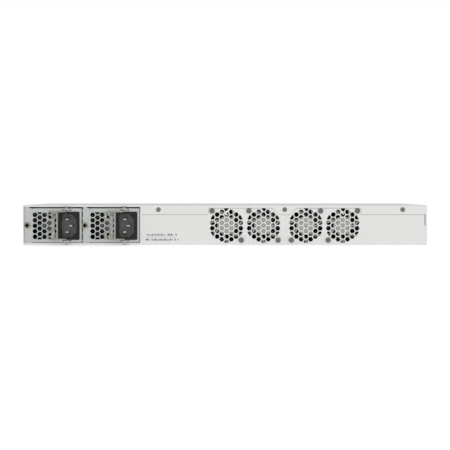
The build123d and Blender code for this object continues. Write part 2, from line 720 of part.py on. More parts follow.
def heatsink(middle_x, middle_y, bottom, top, width, length, fin_pitch):
    """Extruded base with fins that run from front to rear."""
    fin_gap = fin_pitch - 1.2
    with BuildPart() as sink:
        with Locations((middle_x, middle_y, bottom)):
            Box(width, length, top - bottom, align=FROM_BASE)
        gap_count = int((width - 1.2) / fin_pitch)
        first_gap = middle_x - gap_count * fin_pitch / 2 + 0.6
        for gap in range(gap_count):
            gap_left = first_gap + gap * fin_pitch
            block(gap_left, gap_left + fin_gap, middle_y - length, middle_y + length,
                  bottom + 3.5, top + 1, Mode.SUBTRACT)
    return sink


save(heatsink(*switch_chip_middle, chip_top, 38.0, 91.2, 80.0, 5.0), "switch_heatsink")
save(heatsink(150.0, 10.0, port_floor, 26.0, 41.2, 40.0, 4.0), "cpu_heatsink")

with BuildPart() as memory_module:
    block(116, 183.6, -78, -48, 11, 12.2)
    block(114, 185.6, -82, -78, port_floor, 13.5)
    for chip in range(4):
        block(121 + chip * 16, 133 + chip * 16, -72, -60, 12.2, 13.4)
save(memory_module, "memory_module")

with BuildPart() as power_connectors:
    for middle in psu_middles:
        block(middle - 16, middle + 22, psu_case_end + 0.6, psu_case_end + 14, port_floor, port_floor + 9)
        block(middle - 13.3, middle + 19.3, psu_case_end, psu_case_end + 9,
              psu_board_bottom - 0.2, psu_board_bottom + board_thickness + 0.2, Mode.SUBTRACT)
save(power_connectors, "power_connectors")

# ---------------------------------------------------------------- ports

cage_front = front + cage_proud
cage_rear = cage_front - cage_depth
cage_top = port_floor + cage_height
lower_opening = port_floor + cage_wall
upper_opening = cage_top - cage_wall - cage_opening_height


def stacked_cages(middles, width, opening):
    """Sheet metal cages, each with a port above and below a hollow middle for the light pipes."""
    with BuildPart() as cages:
        for middle in middles:
            block(middle - width / 2, middle + width / 2, cage_rear, cage_front, port_floor, cage_top)
            for bottom in (lower_opening, upper_opening):
                block(middle - opening / 2, middle + opening / 2, cage_rear + cage_wall, cage_front,
                      bottom, bottom + cage_opening_height, Mode.SUBTRACT)
            block(middle - opening / 2, middle + opening / 2, cage_rear, cage_front - cage_wall,
                  lower_opening + cage_opening_height + cage_wall, upper_opening - cage_wall, Mode.SUBTRACT)
            for offset in (-4, 4):
                rod(middle + offset, cage_front - 2, (port_floor + cage_top) / 2, 1.1, 4, Mode.SUBTRACT)
    return cages


save(stacked_cages(qsfp_middles, qsfp_width, qsfp_opening), "qsfp_cages")
save(stacked_cages(sfp_middles, sfp_width, sfp_opening), "sfp_cages")

with BuildPart() as rj45_jacks:
    for middle in rj45_middles:
        jack_width, jack_depth, jack_height = rj45_size
        block(middle - jack_width / 2, middle + jack_width / 2, front + 0.4 - jack_depth, front + 0.4,
              port_floor, port_floor + jack_height)
        block(middle - 5.9, middle + 5.9, front - 14, front + 0.4,
              port_floor + 3.8, port_floor + 11.5, Mode.SUBTRACT)
        block(middle - 3.0, middle + 3.0, front - 14, front + 0.4,
              port_floor + 1.6, port_floor + 3.8, Mode.SUBTRACT)
save(rj45_jacks, "rj45_jacks")

with BuildPart() as light_pipes:
    for middle in (*qsfp_middles, *sfp_middles):
        for offset in (-4, 4):
            rod(middle + offset, cage_rear + 4, (port_floor + cage_top) / 2, 1.0, cage_depth - 3.8)
    for x, z in status_light_places:
        rod(x, front - 20, z, 1.2, 20.3)
save(light_pipes, "light_pipes")

with BuildPart() as reset_button:
    rod(reset_place[0], front - 6.5, reset_place[1], 1.5, 6.3)
    rod(reset_place[0], front - 3.0, reset_place[1], 2.2, 1.5)
save(reset_button, "reset_button")

with BuildPart() as reset_switch:
    block(reset_place[0] - 3, reset_place[0] + 3, front - 14, front - 7.2, port_floor, port_floor + 9)
save(reset_switch, "reset_switch")
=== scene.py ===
import json
import math
import random

import bmesh
import bpy
from mathutils import Matrix, Vector


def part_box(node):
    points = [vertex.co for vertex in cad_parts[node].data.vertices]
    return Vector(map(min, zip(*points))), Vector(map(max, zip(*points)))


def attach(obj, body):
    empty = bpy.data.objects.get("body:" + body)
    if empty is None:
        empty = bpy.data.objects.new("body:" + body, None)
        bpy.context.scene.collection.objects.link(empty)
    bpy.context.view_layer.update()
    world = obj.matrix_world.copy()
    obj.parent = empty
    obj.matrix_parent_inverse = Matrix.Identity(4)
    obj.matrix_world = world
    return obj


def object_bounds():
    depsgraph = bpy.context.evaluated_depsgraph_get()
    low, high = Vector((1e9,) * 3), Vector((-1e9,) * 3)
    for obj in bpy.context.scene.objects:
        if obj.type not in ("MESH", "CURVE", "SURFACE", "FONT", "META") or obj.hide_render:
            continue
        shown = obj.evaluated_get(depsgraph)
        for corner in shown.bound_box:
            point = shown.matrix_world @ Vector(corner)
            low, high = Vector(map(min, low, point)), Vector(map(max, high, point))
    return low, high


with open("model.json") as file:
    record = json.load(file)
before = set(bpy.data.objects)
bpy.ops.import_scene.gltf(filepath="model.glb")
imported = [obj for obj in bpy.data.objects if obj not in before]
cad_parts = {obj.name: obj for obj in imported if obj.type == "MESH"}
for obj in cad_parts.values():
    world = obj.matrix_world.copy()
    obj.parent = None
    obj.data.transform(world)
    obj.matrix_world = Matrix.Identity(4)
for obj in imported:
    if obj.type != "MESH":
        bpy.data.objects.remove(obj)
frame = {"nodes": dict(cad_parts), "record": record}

MM = 0.001
cad_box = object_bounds()
nodes = frame["nodes"]

# ------------------------------------------------------------------ places, all taken from the frame

panel_low, panel_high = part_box("rear_panel")
cover_low, cover_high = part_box("top_cover")
front_low, front_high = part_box("front_panel")
rear_y = cover_low.y
panel_y = panel_low.y
front_y = front_high.y
body_height = cover_high.z
half_width = cover_high.x
PSU_NUMBERS = (1, 2)
FAN_NUMBERS = (1, 2, 3, 4)
CAGE_KINDS = ("qsfp", "sfp")

# ------------------------------------------------------------------ camera

CAMERA_DISTANCE = 1.967
CAMERA_HEIGHT = 0.0586
CAMERA_PITCH = math.radians(1.06)
LENS_MM = 143.7
SENSOR_MM = 36.0
NEAR_CLIP, FAR_CLIP = 0.05, 60.0

camera_data = bpy.data.cameras.new("camera")
camera_data.lens = LENS_MM
camera_data.sensor_width = SENSOR_MM
camera_data.clip_start = NEAR_CLIP
camera_data.clip_end = FAR_CLIP
camera = bpy.data.objects.new("camera", camera_data)
camera.location = (0.0, rear_y - CAMERA_DISTANCE, CAMERA_HEIGHT)
camera.rotation_euler = (math.pi / 2 - CAMERA_PITCH, 0.0, 0.0)
bpy.context.scene.collection.objects.link(camera)
bpy.context.scene.camera = camera

# ------------------------------------------------------------------ shader helpers

# socket numbers of a Mix node that blends colours
MIX_SHARE, MIX_BELOW, MIX_ABOVE, MIX_RESULT = 0, 6, 7, 2
# how far the rounded and the true normal agree, as a cosine, on an edge and on a flat stretch
TURNED_EDGE, FLAT_FACE = 0.75, 0.98


def srgb(*levels):
    """Linear colour of three 0 to 255 levels."""
    linear = []
    for level in levels:
        share = level / 255
        linear.append(share / 12.92 if share <= 0.04045 else ((share + 0.055) / 1.055) ** 2.4)
    return (*linear, 1.0)


def scaled(color, factor):
    return (*(min(channel * factor, 1.0) for channel in color[:3]), 1.0)


def set_range(remap, start, end, low, high):
    """Makes a Map Range node take start to end on to low to high."""
    for socket, value in (("From Min", start), ("From Max", end), ("To Min", low), ("To Max", high)):
        remap.inputs[socket].default_value = value


class Surface:
    """A Principled material and the few texture nodes that the materials below share."""

    def __init__(self, name, metallic=0.0, roughness=0.5, **sockets):
        self.material = bpy.data.materials.new(name)
        self.material.use_nodes = True
        self.tree = self.material.node_tree
        self.shader = self.tree.nodes["Principled BSDF"]
        self.shader.inputs["Metallic"].default_value = metallic
        self.shader.inputs["Roughness"].default_value = roughness
        for socket, value in sockets.items():
            self.shader.inputs[socket.replace("_", " ")].default_value = value
        self.height = None

    def node(self, kind, **settings):
        made = self.tree.nodes.new(kind)
        for key, value in settings.items():
            setattr(made, key, value)
        return made

    def join(self, source, target):
        self.tree.links.new(source, target)

    def place(self, stretch=(1, 1, 1)):
        """Object coordinates, in metres, stretched along each axis."""
        coordinates = self.node("ShaderNodeTexCoord")
        mapping = self.node("ShaderNodeMapping")
        mapping.inputs["Scale"].default_value = stretch
        self.join(coordinates.outputs["Object"], mapping.inputs["Vector"])
        return mapping.outputs["Vector"]

    def noise(self, size, stretch=(1, 1, 1), detail=3.0, roughness=0.55):
        """Noise whose features are about size metres across."""
        texture = self.node("ShaderNodeTexNoise")
        texture.inputs["Scale"].default_value = 1 / size
        texture.inputs["Detail"].default_value = detail
        texture.inputs["Roughness"].default_value = roughness
        self.join(self.place(stretch), texture.inputs["Vector"])
        return texture.outputs["Fac"]

    def cells(self, size, stretch=(1, 1, 1), output="Color"):
        texture = self.node("ShaderNodeTexVoronoi")
        texture.inputs["Scale"].default_value = 1 / size
        self.join(self.place(stretch), texture.inputs["Vector"])
        return texture.outputs[output]

    def ramp(self, source, low, high, start=0.3, end=0.7):
        """Blends two colours as source rises from start to end."""
        ramp = self.node("ShaderNodeValToRGB")
        first, last = ramp.color_ramp.elements
        first.position, first.color = start, low
        last.position, last.color = end, high
        self.join(source, ramp.inputs["Fac"])
        return ramp.outputs["Color"]

    def blend(self, share, below, above, mode="MIX"):
        mix = self.node("ShaderNodeMix", data_type="RGBA", blend_type=mode)
        if isinstance(share, float):
            mix.inputs[MIX_SHARE].default_value = share
        else:
            self.join(share, mix.inputs[MIX_SHARE])
        for socket, value in ((MIX_BELOW, below), (MIX_ABOVE, above)):
            if isinstance(value, tuple):
                mix.inputs[socket].default_value = value
            else:
                self.join(value, mix.inputs[socket])
        return mix.outputs[MIX_RESULT]

    def level(self, source, low, high, start=0.3, end=0.7):
        """A number that rises from low to high as source rises from start to end."""
        remap = self.node("ShaderNodeMapRange")
        set_range(remap, start, end, low, high)
        self.join(source, remap.inputs["Value"])
        return remap.outputs["Result"]

    def edges(self, width, low, high):
        """A number that goes from low on flat stretches to high on edges about width across."""
        bevel = self.node("ShaderNodeBevel", samples=4)
        bevel.inputs["Radius"].default_value = width
        geometry = self.node("ShaderNodeNewGeometry")
        dot = self.node("ShaderNodeVectorMath", operation="DOT_PRODUCT")
        self.join(bevel.outputs["Normal"], dot.inputs[0])
        self.join(geometry.outputs["Normal"], dot.inputs[1])
        return self.level(dot.outputs["Value"], high, low, TURNED_EDGE, FLAT_FACE)

    def color(self, source):
        self.join(source, self.shader.inputs["Base Color"])

    def roughness(self, source):
        self.join(source, self.shader.inputs["Roughness"])

    def bump(self, source, depth, strength=1.0):
        """Adds a relief depth metres deep to those added before."""
        relief = self.node("ShaderNodeBump")
        relief.inputs["Strength"].default_value = strength
        relief.inputs["Distance"].default_value = depth
        self.join(source, relief.inputs["Height"])
        if self.height is not None:
            self.join(self.height, relief.inputs["Normal"])
        self.height = relief.outputs["Normal"]
        self.join(self.height, self.shader.inputs["Normal"])


# ------------------------------------------------------------------ materials

FLOOR_GLOW = 0.38


def powder_coat(name, tone, variation=0.03):
    """Baked powder paint: a fine orange-peel relief, faint clouds and paler edges, a painted highlight on
    bends and rims.
    """
    surface = Surface(name, roughness=0.5)
    clouds = surface.ramp(surface.noise(90 * MM), scaled(tone, 1 - variation), tone)
    speckle = surface.ramp(surface.noise(0.9 * MM), scaled(tone, 0.97), scaled(tone, 1.02), 0.35, 0.65)
    paint = surface.blend(0.35, clouds, speckle)
    # painted highlight: edges and bends are made paler than the flat paint
    surface.color(surface.blend(surface.edges(0.9 * MM, 0.0, 1.0), paint, scaled(tone, 1.2)))
    surface.roughness(surface.level(surface.noise(4 * MM), 0.42, 0.56))
    surface.bump(surface.noise(1.1 * MM, detail=2.0), 0.03 * MM, 0.6)
    return surface.material


def plated_sheet(name, tone, roughness=0.36, grain=(1, 1, 14)):
    """Zinc-plated sheet: mottled crystals over a rolled grain, with small stains."""
    surface = Surface(name, metallic=0.75)
    spangle = surface.ramp(surface.cells(2.2 * MM), scaled(tone, 0.93), scaled(tone, 1.04), 0.2, 0.8)
    stain = surface.ramp(surface.noise(16 * MM), scaled(tone, 0.9), tone, 0.35, 0.6)
    surface.color(surface.blend(0.45, stain, spangle))
    rolled = surface.noise(6 * MM, stretch=grain, detail=4.0)
    surface.roughness(surface.level(rolled, roughness - 0.06, roughness + 0.12))
    surface.bump(rolled, 0.02 * MM, 0.5)
    return surface.material


def bent_bar(name, tone, roughness=0.3):
    """Drawn steel bar or wire: fine lines along its length and dull patches from handling."""
    surface = Surface(name, metallic=0.95)
    surface.color(surface.ramp(surface.noise(4 * MM), scaled(tone, 0.8), scaled(tone, 1.1), 0.35, 0.65))
    lines = surface.noise(0.7 * MM, stretch=(1, 1, 0.12), detail=2.0)
    surface.roughness(surface.level(lines, roughness - 0.08, roughness + 0.14))
    surface.bump(lines, 0.02 * MM, 0.5)
    return surface.material


def turned_metal(name, tone, roughness=0.35, metallic=0.9):
    """Plated screw or contact metal, with small dull and bright patches and a fine turned grain."""
    surface = Surface(name, metallic=metallic)
    surface.color(surface.ramp(surface.noise(1.2 * MM), scaled(tone, 0.75), scaled(tone, 1.15)))
    surface.roughness(surface.level(surface.noise(0.5 * MM), roughness - 0.08, roughness + 0.15))
    surface.bump(surface.noise(0.4 * MM, detail=1.0), 0.02 * MM, 0.5)
    return surface.material


def moulded(name, tone, roughness=0.5, grain=0.4 * MM, relief=0.03 * MM, gloss=0.5):
    """Moulded plastic with a spark-eroded grain and faint flow clouds."""
    surface = Surface(name, Specular_IOR_Level=gloss)
    flow = surface.ramp(surface.noise(12 * MM), scaled(tone, 0.88), scaled(tone, 1.08))
    surface.color(flow)
    surface.roughness(surface.level(surface.noise(3 * MM), roughness - 0.06, roughness + 0.08))
    surface.bump(surface.noise(grain, detail=1.0), relief, 0.6)
    return surface.material


def lead_black_when_deep(name, tone, deep_tone, dark_start):
    """White insulation that turns black further from the rear panel than the given start."""
    surface = Surface(name, roughness=0.45)
    axes = surface.node("ShaderNodeSeparateXYZ")
    surface.join(surface.place(), axes.inputs["Vector"])
    depth = surface.level(axes.outputs["Y"], 0.0, 1.0, dark_start, dark_start + 0.3 * MM)
    white = surface.ramp(surface.noise(3 * MM), scaled(tone, 0.94), tone)
    black = surface.ramp(surface.noise(3 * MM), scaled(deep_tone, 0.8), scaled(deep_tone, 1.2))
    surface.color(surface.blend(depth, white, black))
    surface.bump(surface.noise(0.6 * MM, detail=1.0), 0.02 * MM, 0.5)
    return surface.material


def inlet_nylon(name, face_tone, recess_light_tone):
    """Moulded nylon that is painted paler deep in the recess than on its face: painted light that lights
    up the recess.
    """
    surface = Surface(name, Specular_IOR_Level=0.25)
    axes = surface.node("ShaderNodeSeparateXYZ")
    surface.join(surface.place(), axes.inputs["Vector"])
    depth = surface.level(axes.outputs["Y"], 0.0, 1.0, rear_y + 0.5 * MM, rear_y + 14 * MM)
    flow = surface.ramp(surface.noise(10 * MM), scaled(face_tone, 0.9), scaled(face_tone, 1.1))
    # painted light: the tone deep in the recess is far paler than the black face
    inner = surface.ramp(surface.noise(12 * MM), scaled(recess_light_tone, 0.92), scaled(recess_light_tone, 1.06))
    surface.color(surface.blend(depth, flow, inner))
    surface.roughness(surface.level(surface.noise(3 * MM), 0.4, 0.52))
    surface.bump(surface.noise(0.4 * MM, detail=1.0), 0.03 * MM, 0.6)
    return surface.material


def solder_mask(name):
    """Green board with copper tracks under the mask and pale pads."""
    surface = Surface(name, roughness=0.35)
    green = srgb(22, 84, 52)
    tracks = surface.node("ShaderNodeTexBrick", offset=0.37, offset_frequency=3, squash=1.6)
    tracks.inputs["Scale"].default_value = 260.0
    tracks.inputs["Color1"].default_value = scaled(green, 0.8)
    tracks.inputs["Color2"].default_value = scaled(green, 1.25)
    tracks.inputs["Mortar"].default_value = scaled(green, 1.9)
    tracks.inputs["Mortar Size"].default_value = 0.06
    surface.join(surface.place(), tracks.inputs["Vector"])
    pads = surface.ramp(surface.cells(4.2 * MM, output="Distance"), srgb(176, 170, 140), green, 0.08, 0.12)
    surface.color(surface.blend(0.5, tracks.outputs["Color"], pads, "LIGHTEN"))
    surface.roughness(surface.level(surface.noise(5 * MM), 0.28, 0.45))
    surface.bump(tracks.outputs["Fac"], 0.02 * MM, 0.5)
    return surface.material


def glow_free_lens(name, tone):
    """Clear moulded plastic of a light pipe or window, unlit."""
    surface = Surface(name, roughness=0.18, Transmission_Weight=0.35, IOR=1.49)
    surface.color(surface.ramp(surface.noise(2 * MM), scaled(tone, 0.85), tone))
    surface.bump(surface.noise(0.8 * MM), 0.01 * MM, 0.4)
    return surface.material


def printed_ink(name, tone):
    """Matt print or sticker paper with a faint mottle."""
    surface = Surface(name, roughness=0.6)
    surface.color(surface.ramp(surface.noise(0.6 * MM), scaled(tone, 0.85), scaled(tone, 1.2)))
    surface.bump(surface.noise(0.7 * MM), 0.01 * MM, 0.4)
    return surface.material


def pale_floor(name):
    """A matt floor that glows faintly, so that it stays as pale as the sky round it."""
    surface = Surface(name, roughness=0.85)
    surface.color(surface.ramp(surface.noise(400 * MM), (0.93, 0.93, 0.93, 1), (0.96, 0.96, 0.96, 1)))
    surface.shader.inputs["Emission Color"].default_value = (1, 1, 1, 1)
    surface.shader.inputs["Emission Strength"].default_value = FLOOR_GLOW
    return surface.material


finishes = {
    "painted_steel": powder_coat("painted_steel", srgb(226, 227, 225)),
    "zinc_steel": plated_sheet("zinc_steel", srgb(191, 195, 192)),
    "screw_steel": turned_metal("screw_steel", srgb(122, 129, 125)),
    "fan_screw_steel": turned_metal("fan_screw_steel", srgb(111, 116, 112), 0.4),
    "bent_steel": bent_bar("bent_steel", srgb(172, 171, 164)),
    "bronze_screw": turned_metal("bronze_screw", srgb(156, 149, 130)),
    # the inlet's second tone is painted light deep in its recess
    "black_nylon": inlet_nylon("black_nylon", srgb(28, 28, 28), srgb(152, 153, 152)),
    "pin_metal": bent_bar("pin_metal", srgb(176, 178, 176), 0.26),
    "fan_black": moulded("fan_black", srgb(14, 14, 15), 0.5),
    "fan_grey": moulded("fan_grey", srgb(181, 181, 177), 0.5),
    "lead_white": lead_black_when_deep("lead_white", srgb(250, 250, 248), srgb(20, 20, 21),
                               panel_high.y + 2 * MM),
    "spring_metal": plated_sheet("spring_metal", srgb(205, 203, 192), 0.3),
    "circuit_board": solder_mask("circuit_board"),
    "chip_black": moulded("chip_black", srgb(40, 40, 42), 0.5),
    "heatsink_aluminium": plated_sheet("heatsink_aluminium", srgb(196, 198, 200), 0.32, (14, 1, 14)),
    "cage_steel": plated_sheet("cage_steel", srgb(190, 191, 188), 0.3, (1, 14, 1)),
    "light_pipe": glow_free_lens("light_pipe", srgb(214, 224, 216)),
    "rail_plastic": moulded("rail_plastic", srgb(52, 52, 54), 0.5),
    "button_grey": moulded("button_grey", srgb(92, 93, 95), 0.45),
}
label_ink = printed_ink("label_ink", srgb(88, 90, 90))
gold_contact = turned_metal("gold_contact", srgb(212, 180, 96), 0.25, 1.0)
sticker_white = printed_ink("sticker_white", srgb(232, 232, 230))
hub_sticker = printed_ink("hub_sticker", srgb(180, 180, 175))
small_hub_sticker = printed_ink("small_hub_sticker", srgb(112, 114, 114))
# painted shadow: a grey line on the rear panel under the cover flange's edge
flange_shadow_paint = printed_ink("flange_shadow_paint", srgb(160, 160, 156))
# painted shade: black for the thumbscrew's cross recess and the rim round it
recess_shade_paint = moulded("recess_shade_paint", srgb(10, 10, 10), 0.6, gloss=0.1)
insulation = moulded("insulation", srgb(18, 18, 20), 0.35, grain=3 * MM, relief=0.1 * MM)

for subpart in frame["record"]["subparts"]:
    for material_slot in nodes[subpart["node"]].material_slots:
        material_slot.material = finishes[subpart["material_slot"]]

# ------------------------------------------------------------------ piece helpers


def finish_piece(name, shape, material, body, smooth_angle=35.0):
    """Turns a bmesh into a piece with the given material that rides on a body."""
    bmesh.ops.recalc_face_normals(shape, faces=shape.faces)
    mesh = bpy.data.meshes.new(name)
    shape.to_mesh(mesh)
    shape.free()
    mesh.materials.append(material)
    mesh.shade_smooth()
    mesh.set_sharp_from_angle(angle=math.radians(smooth_angle))
    piece = bpy.data.objects.new(name, mesh)
    bpy.context.scene.collection.objects.link(piece)
    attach(piece, body)
    return piece


def add_box(shape, low, high, bevel=0.0):
    """A box between two corners, with its edges rounded."""
    low, high = Vector(low), Vector(high)
    size = high - low
    place = Matrix.Translation((low + high) / 2) @ Matrix.Diagonal((*size, 1.0))
    made = bmesh.ops.create_cube(shape, size=1.0, matrix=place)
    if bevel:
        edges = {edge for vert in made["verts"] for edge in vert.link_edges}
        bmesh.ops.bevel(shape, geom=list(edges), offset=bevel, segments=2, affect="EDGES", profile=0.5)


def add_rod(shape, start, end, radius, sides=20, tip_radius=None):
    """A round bar, or a cone, from one point to another."""
    start, end = Vector(start), Vector(end)
    along = end - start
    turn = Vector((0, 0, 1)).rotation_difference(along).to_matrix().to_4x4()
    place = Matrix.Translation((start + end) / 2) @ turn
    tip = radius if tip_radius is None else tip_radius
    bmesh.ops.create_cone(shape, cap_ends=True, segments=sides, radius1=radius, radius2=tip,
                          depth=along.length, matrix=place)


def add_prism(shape, outline, sweep):
    """A solid whose end faces are the outline and its copy pushed along sweep."""
    near = [shape.verts.new(corner) for corner in outline]
    far = [shape.verts.new(Vector(corner) + Vector(sweep)) for corner in outline]
    shape.faces.new(near)
    shape.faces.new(far[::-1])
    for index, corner in enumerate(near):
        following = (index + 1) % len(near)
        shape.faces.new((corner, far[index], far[following], near[following]))


def add_ring(shape, loops):
    """A closed ring of wall: each loop of corners is joined to the next, and the last to the first."""
    rings = [[shape.verts.new(corner) for corner in loop] for loop in loops]
    for inner, outer in zip(rings, rings[1:] + rings[:1]):
        for index, corner in enumerate(inner):
            following = (index + 1) % len(inner)
            shape.faces.new((corner, inner[following], outer[following], outer[index]))


def port_openings(kinds, row=""):
    """Low and high corners of the stated opening of each port of these kinds, in one row or in all."""
    boxes = []
    for opening in frame["record"]["physics"]["openings"]:
        kind, _, place = opening["name"].partition("_port_")
        if kind in kinds and row in place:
            low, high = opening["box_m"]
            boxes.append((Vector(low), Vector(high)))
    return boxes


# ------------------------------------------------------------------ rear panel marks


def rear_marks():
    """Two rows of plain printed ticks with a thin rule between them, where a rating line would be."""
    shape = bmesh.new()
    draw = random.Random(4)
    left = panel_low.x + 6.5 * MM
    ink_y, sunk_y = panel_y - 0.03 * MM, panel_y + 0.05 * MM
    tick_height, tick_gap = 2.1 * MM, 0.55 * MM
    blank_chance = 0.14
    rule_bottom, rule_top, rule_length = 8.8 * MM, 9.0 * MM, 34 * MM
    for row_z, row_length in ((11.6 * MM, 33.0 * MM), (6.2 * MM, 35.0 * MM)):
        bottom = row_z - tick_height / 2
        cursor = 0.0
        while cursor < row_length:
            width = draw.choice((0.9, 1.2, 1.5)) * MM
            rise = draw.choice((0.55, 0.8, 1.0)) * tick_height
            if draw.random() > blank_chance:
                add_box(shape, (left + cursor, ink_y, bottom),
                        (left + cursor + width, sunk_y, bottom + rise))
            cursor += width + tick_gap
    add_box(shape, (left, ink_y, rule_bottom), (left + rule_length, sunk_y, rule_top))
    finish_piece("rear_marks", shape, label_ink, "chassis")


def flange_painted_shadow():
    """A thin grey line of painted shadow under the edge of the cover flange, where it laps over the rear
    panel.
    """
    shape = bmesh.new()
    line_width, line_depth = 0.5 * MM, 0.03 * MM
    fan_boxes = [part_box(f"fan_{number}_frame") for number in FAN_NUMBERS]
    group_x = sum((low.x + high.x) / 2 for low, high in fan_boxes) / len(fan_boxes)
    low_z, high_z = body_height - 10.2 * MM, body_height - 3.1 * MM
    # distances from the middle of the fans to where the flange's edge steps up and down
    inner_foot, inner_top, outer_top, outer_foot = 5.9 * MM, 13.0 * MM, 82.5 * MM, 84.2 * MM
    left_end, right_end = panel_low.x + 1.2 * MM, half_width - 1.4 * MM
    runs = [((left_end, low_z), (group_x - outer_foot, low_z)),
            ((group_x + outer_foot, low_z), (right_end, low_z)),
            ((group_x - inner_foot, low_z), (group_x + inner_foot, low_z))]
    for side in (-1, 1):
        runs.append(((group_x + side * inner_top, high_z), (group_x + side * outer_top, high_z)))
        runs.append(((group_x + side * inner_foot, low_z), (group_x + side * inner_top, high_z)))
    for (start_x, start_z), (end_x, end_z) in runs:
        outline = [(start_x, panel_y, start_z), (end_x, panel_y, end_z),
                   (end_x, panel_y, end_z - line_width), (start_x, panel_y, start_z - line_width)]
        add_prism(shape, outline, (0, -line_depth, 0))
    finish_piece("flange_painted_shadow", shape, flange_shadow_paint, "chassis")


# ------------------------------------------------------------------ front panel marks and lights

INK_DEPTH = 0.04 * MM
LIGHT_COUNT = 3
LIGHT_PITCH = 6 * MM
LIGHT_RADIUS = 1.2 * MM


def light_middles():
    """x and z of the middle of each status light on the front panel."""
    _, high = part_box("light_pipes")
    z = high.z - LIGHT_RADIUS
    return [(high.x - LIGHT_RADIUS - column * LIGHT_PITCH, z) for column in range(LIGHT_COUNT)]


def printed_triangle(shape, x, z, height):
    """A small printed triangle on the front panel, pointing up or, with a negative height, down."""
    half = abs(height) * 0.6
    outline = [(x - half, front_y, z), (x + half, front_y, z), (x, front_y, z + height)]
    add_prism(shape, outline, (0, INK_DEPTH, 0))


def front_marks():
    """Triangles that point to the upper and lower port of each stack, and rules below the lights."""
    shape = bmesh.new()
    side_step, height = 2.2 * MM, 1.2 * MM
    for low, high in port_openings(CAGE_KINDS, "upper"):
        printed_triangle(shape, (low.x + high.x) / 2 - side_step, high.z + 3.1 * MM, height)
    for low, high in port_openings(CAGE_KINDS, "lower"):
        printed_triangle(shape, (low.x + high.x) / 2 + side_step, low.z - 3.4 * MM, -height)
    # half width, and lower and upper edge below the light's middle
    rules = ((1.6 * MM, 3.4 * MM, 3.1 * MM), (0.9 * MM, 4.8 * MM, 4.1 * MM))
    for x, z in light_middles():
        for half, bottom, top in rules:
            add_box(shape, (x - half, front_y, z - bottom), (x + half, front_y + INK_DEPTH, z - top))
    finish_piece("front_marks", shape, label_ink, "chassis")


def light_bezels():
    """Moulded rings round the three status lights."""
    shape = bmesh.new()
    sides = 28
    angles = [math.tau * side / sides for side in range(sides)]
    profile = ((2.0, 0.0), (1.85, 0.3), (1.35, 0.3), (1.25, 0.0))  # radius and rise, in millimetres
    for x, z in light_middles():
        add_ring(shape, [[(x + radius * MM * math.cos(angle), front_y + rise * MM,
                           z + radius * MM * math.sin(angle)) for angle in angles]
                         for radius, rise in profile])
    finish_piece("light_bezels", shape, finishes["button_grey"], "chassis")


# ------------------------------------------------------------------ ports


def port_connectors(kind, contact_count, half_span):
    """A two-jawed connector at the back of each port, with a row of contacts on each jaw."""
    housing = bmesh.new()
    contacts = bmesh.new()
    back_gap, reach = 0.2 * MM, 9 * MM
    jaw_near, jaw_far, jaw_bevel = 0.9 * MM, 3.0 * MM, 0.2 * MM
    cheek_width, cheek_half_height = 0.9 * MM, 1.2 * MM
    contact_near, contact_far = 0.55 * MM, 1.0 * MM
    contact_pitch, contact_half_width = 0.7 * MM, 0.17 * MM
    contact_root, contact_inset = 1.0 * MM, 0.3 * MM
    for low, high in port_openings((kind,)):
        middle = (low + high) / 2
        back = low.y + back_gap
        mouth = back + reach
        for side in (-1, 1):
            jaw = sorted((middle.z + side * jaw_near, middle.z + side * jaw_far))
            add_box(housing, (middle.x - half_span, back, jaw[0]),
                    (middle.x + half_span, mouth, jaw[1]), jaw_bevel)
            cheek = sorted((middle.x + side * half_span, middle.x + side * (half_span - cheek_width)))
            add_box(housing, (cheek[0], back, middle.z - cheek_half_height),
                    (cheek[1], mouth, middle.z + cheek_half_height))
            tip = sorted((middle.z + side * contact_near, middle.z + side * contact_far))
            for contact in range(contact_count):
                x = middle.x + (contact - (contact_count - 1) / 2) * contact_pitch
                add_box(contacts, (x - contact_half_width, back + contact_root, tip[0]),
                        (x + contact_half_width, mouth - contact_inset, tip[1]))
    finish_piece(kind + "_connectors", housing, finishes["chip_black"], "chassis")
    finish_piece(kind + "_contacts", contacts, gold_contact, "chassis")


def cage_fingers():
    """Sprung fingers that lean from the rim of each cage on to the front panel."""
    shape = bmesh.new()
    thickness, reach, lift = 0.2 * MM, 1.2 * MM, 0.62 * MM
    foot = 0.03 * MM
    rim = 0.9 * MM
    across_pitch, across_width = 3.2 * MM, 2.4 * MM
    up_count, up_pitch, up_width = 8, 3.6 * MM, 2.6 * MM
    profile = ((0.0, lift), (reach, foot), (reach, foot + thickness), (0.0, lift + thickness))
    stacks = zip(port_openings(CAGE_KINDS, "lower"), port_openings(CAGE_KINDS, "upper"))
    for (low, high), (_, upper_high) in stacks:
        left, right = low.x - rim, high.x + rim
        bottom, top = low.z - rim, upper_high.z + rim
        across_count = int((right - left) / across_pitch)
        for finger in range(across_count):
            step = finger - (across_count - 1) / 2
            x = (left + right) / 2 + step * across_pitch - across_width / 2
            for edge, side in ((top, 1), (bottom, -1)):
                outline = [(x, front_y + y, edge + side * out) for out, y in profile]
                add_prism(shape, outline, (across_width, 0, 0))
        for finger in range(up_count):
            z = (bottom + top) / 2 + (finger - (up_count - 1) / 2) * up_pitch - up_width / 2
            for edge, side in ((right, 1), (left, -1)):
                outline = [(edge + side * out, front_y + y, z) for out, y in profile]
                add_prism(shape, outline, (0, 0, up_width))
    finish_piece("cage_fingers", shape, finishes["spring_metal"], "chassis")


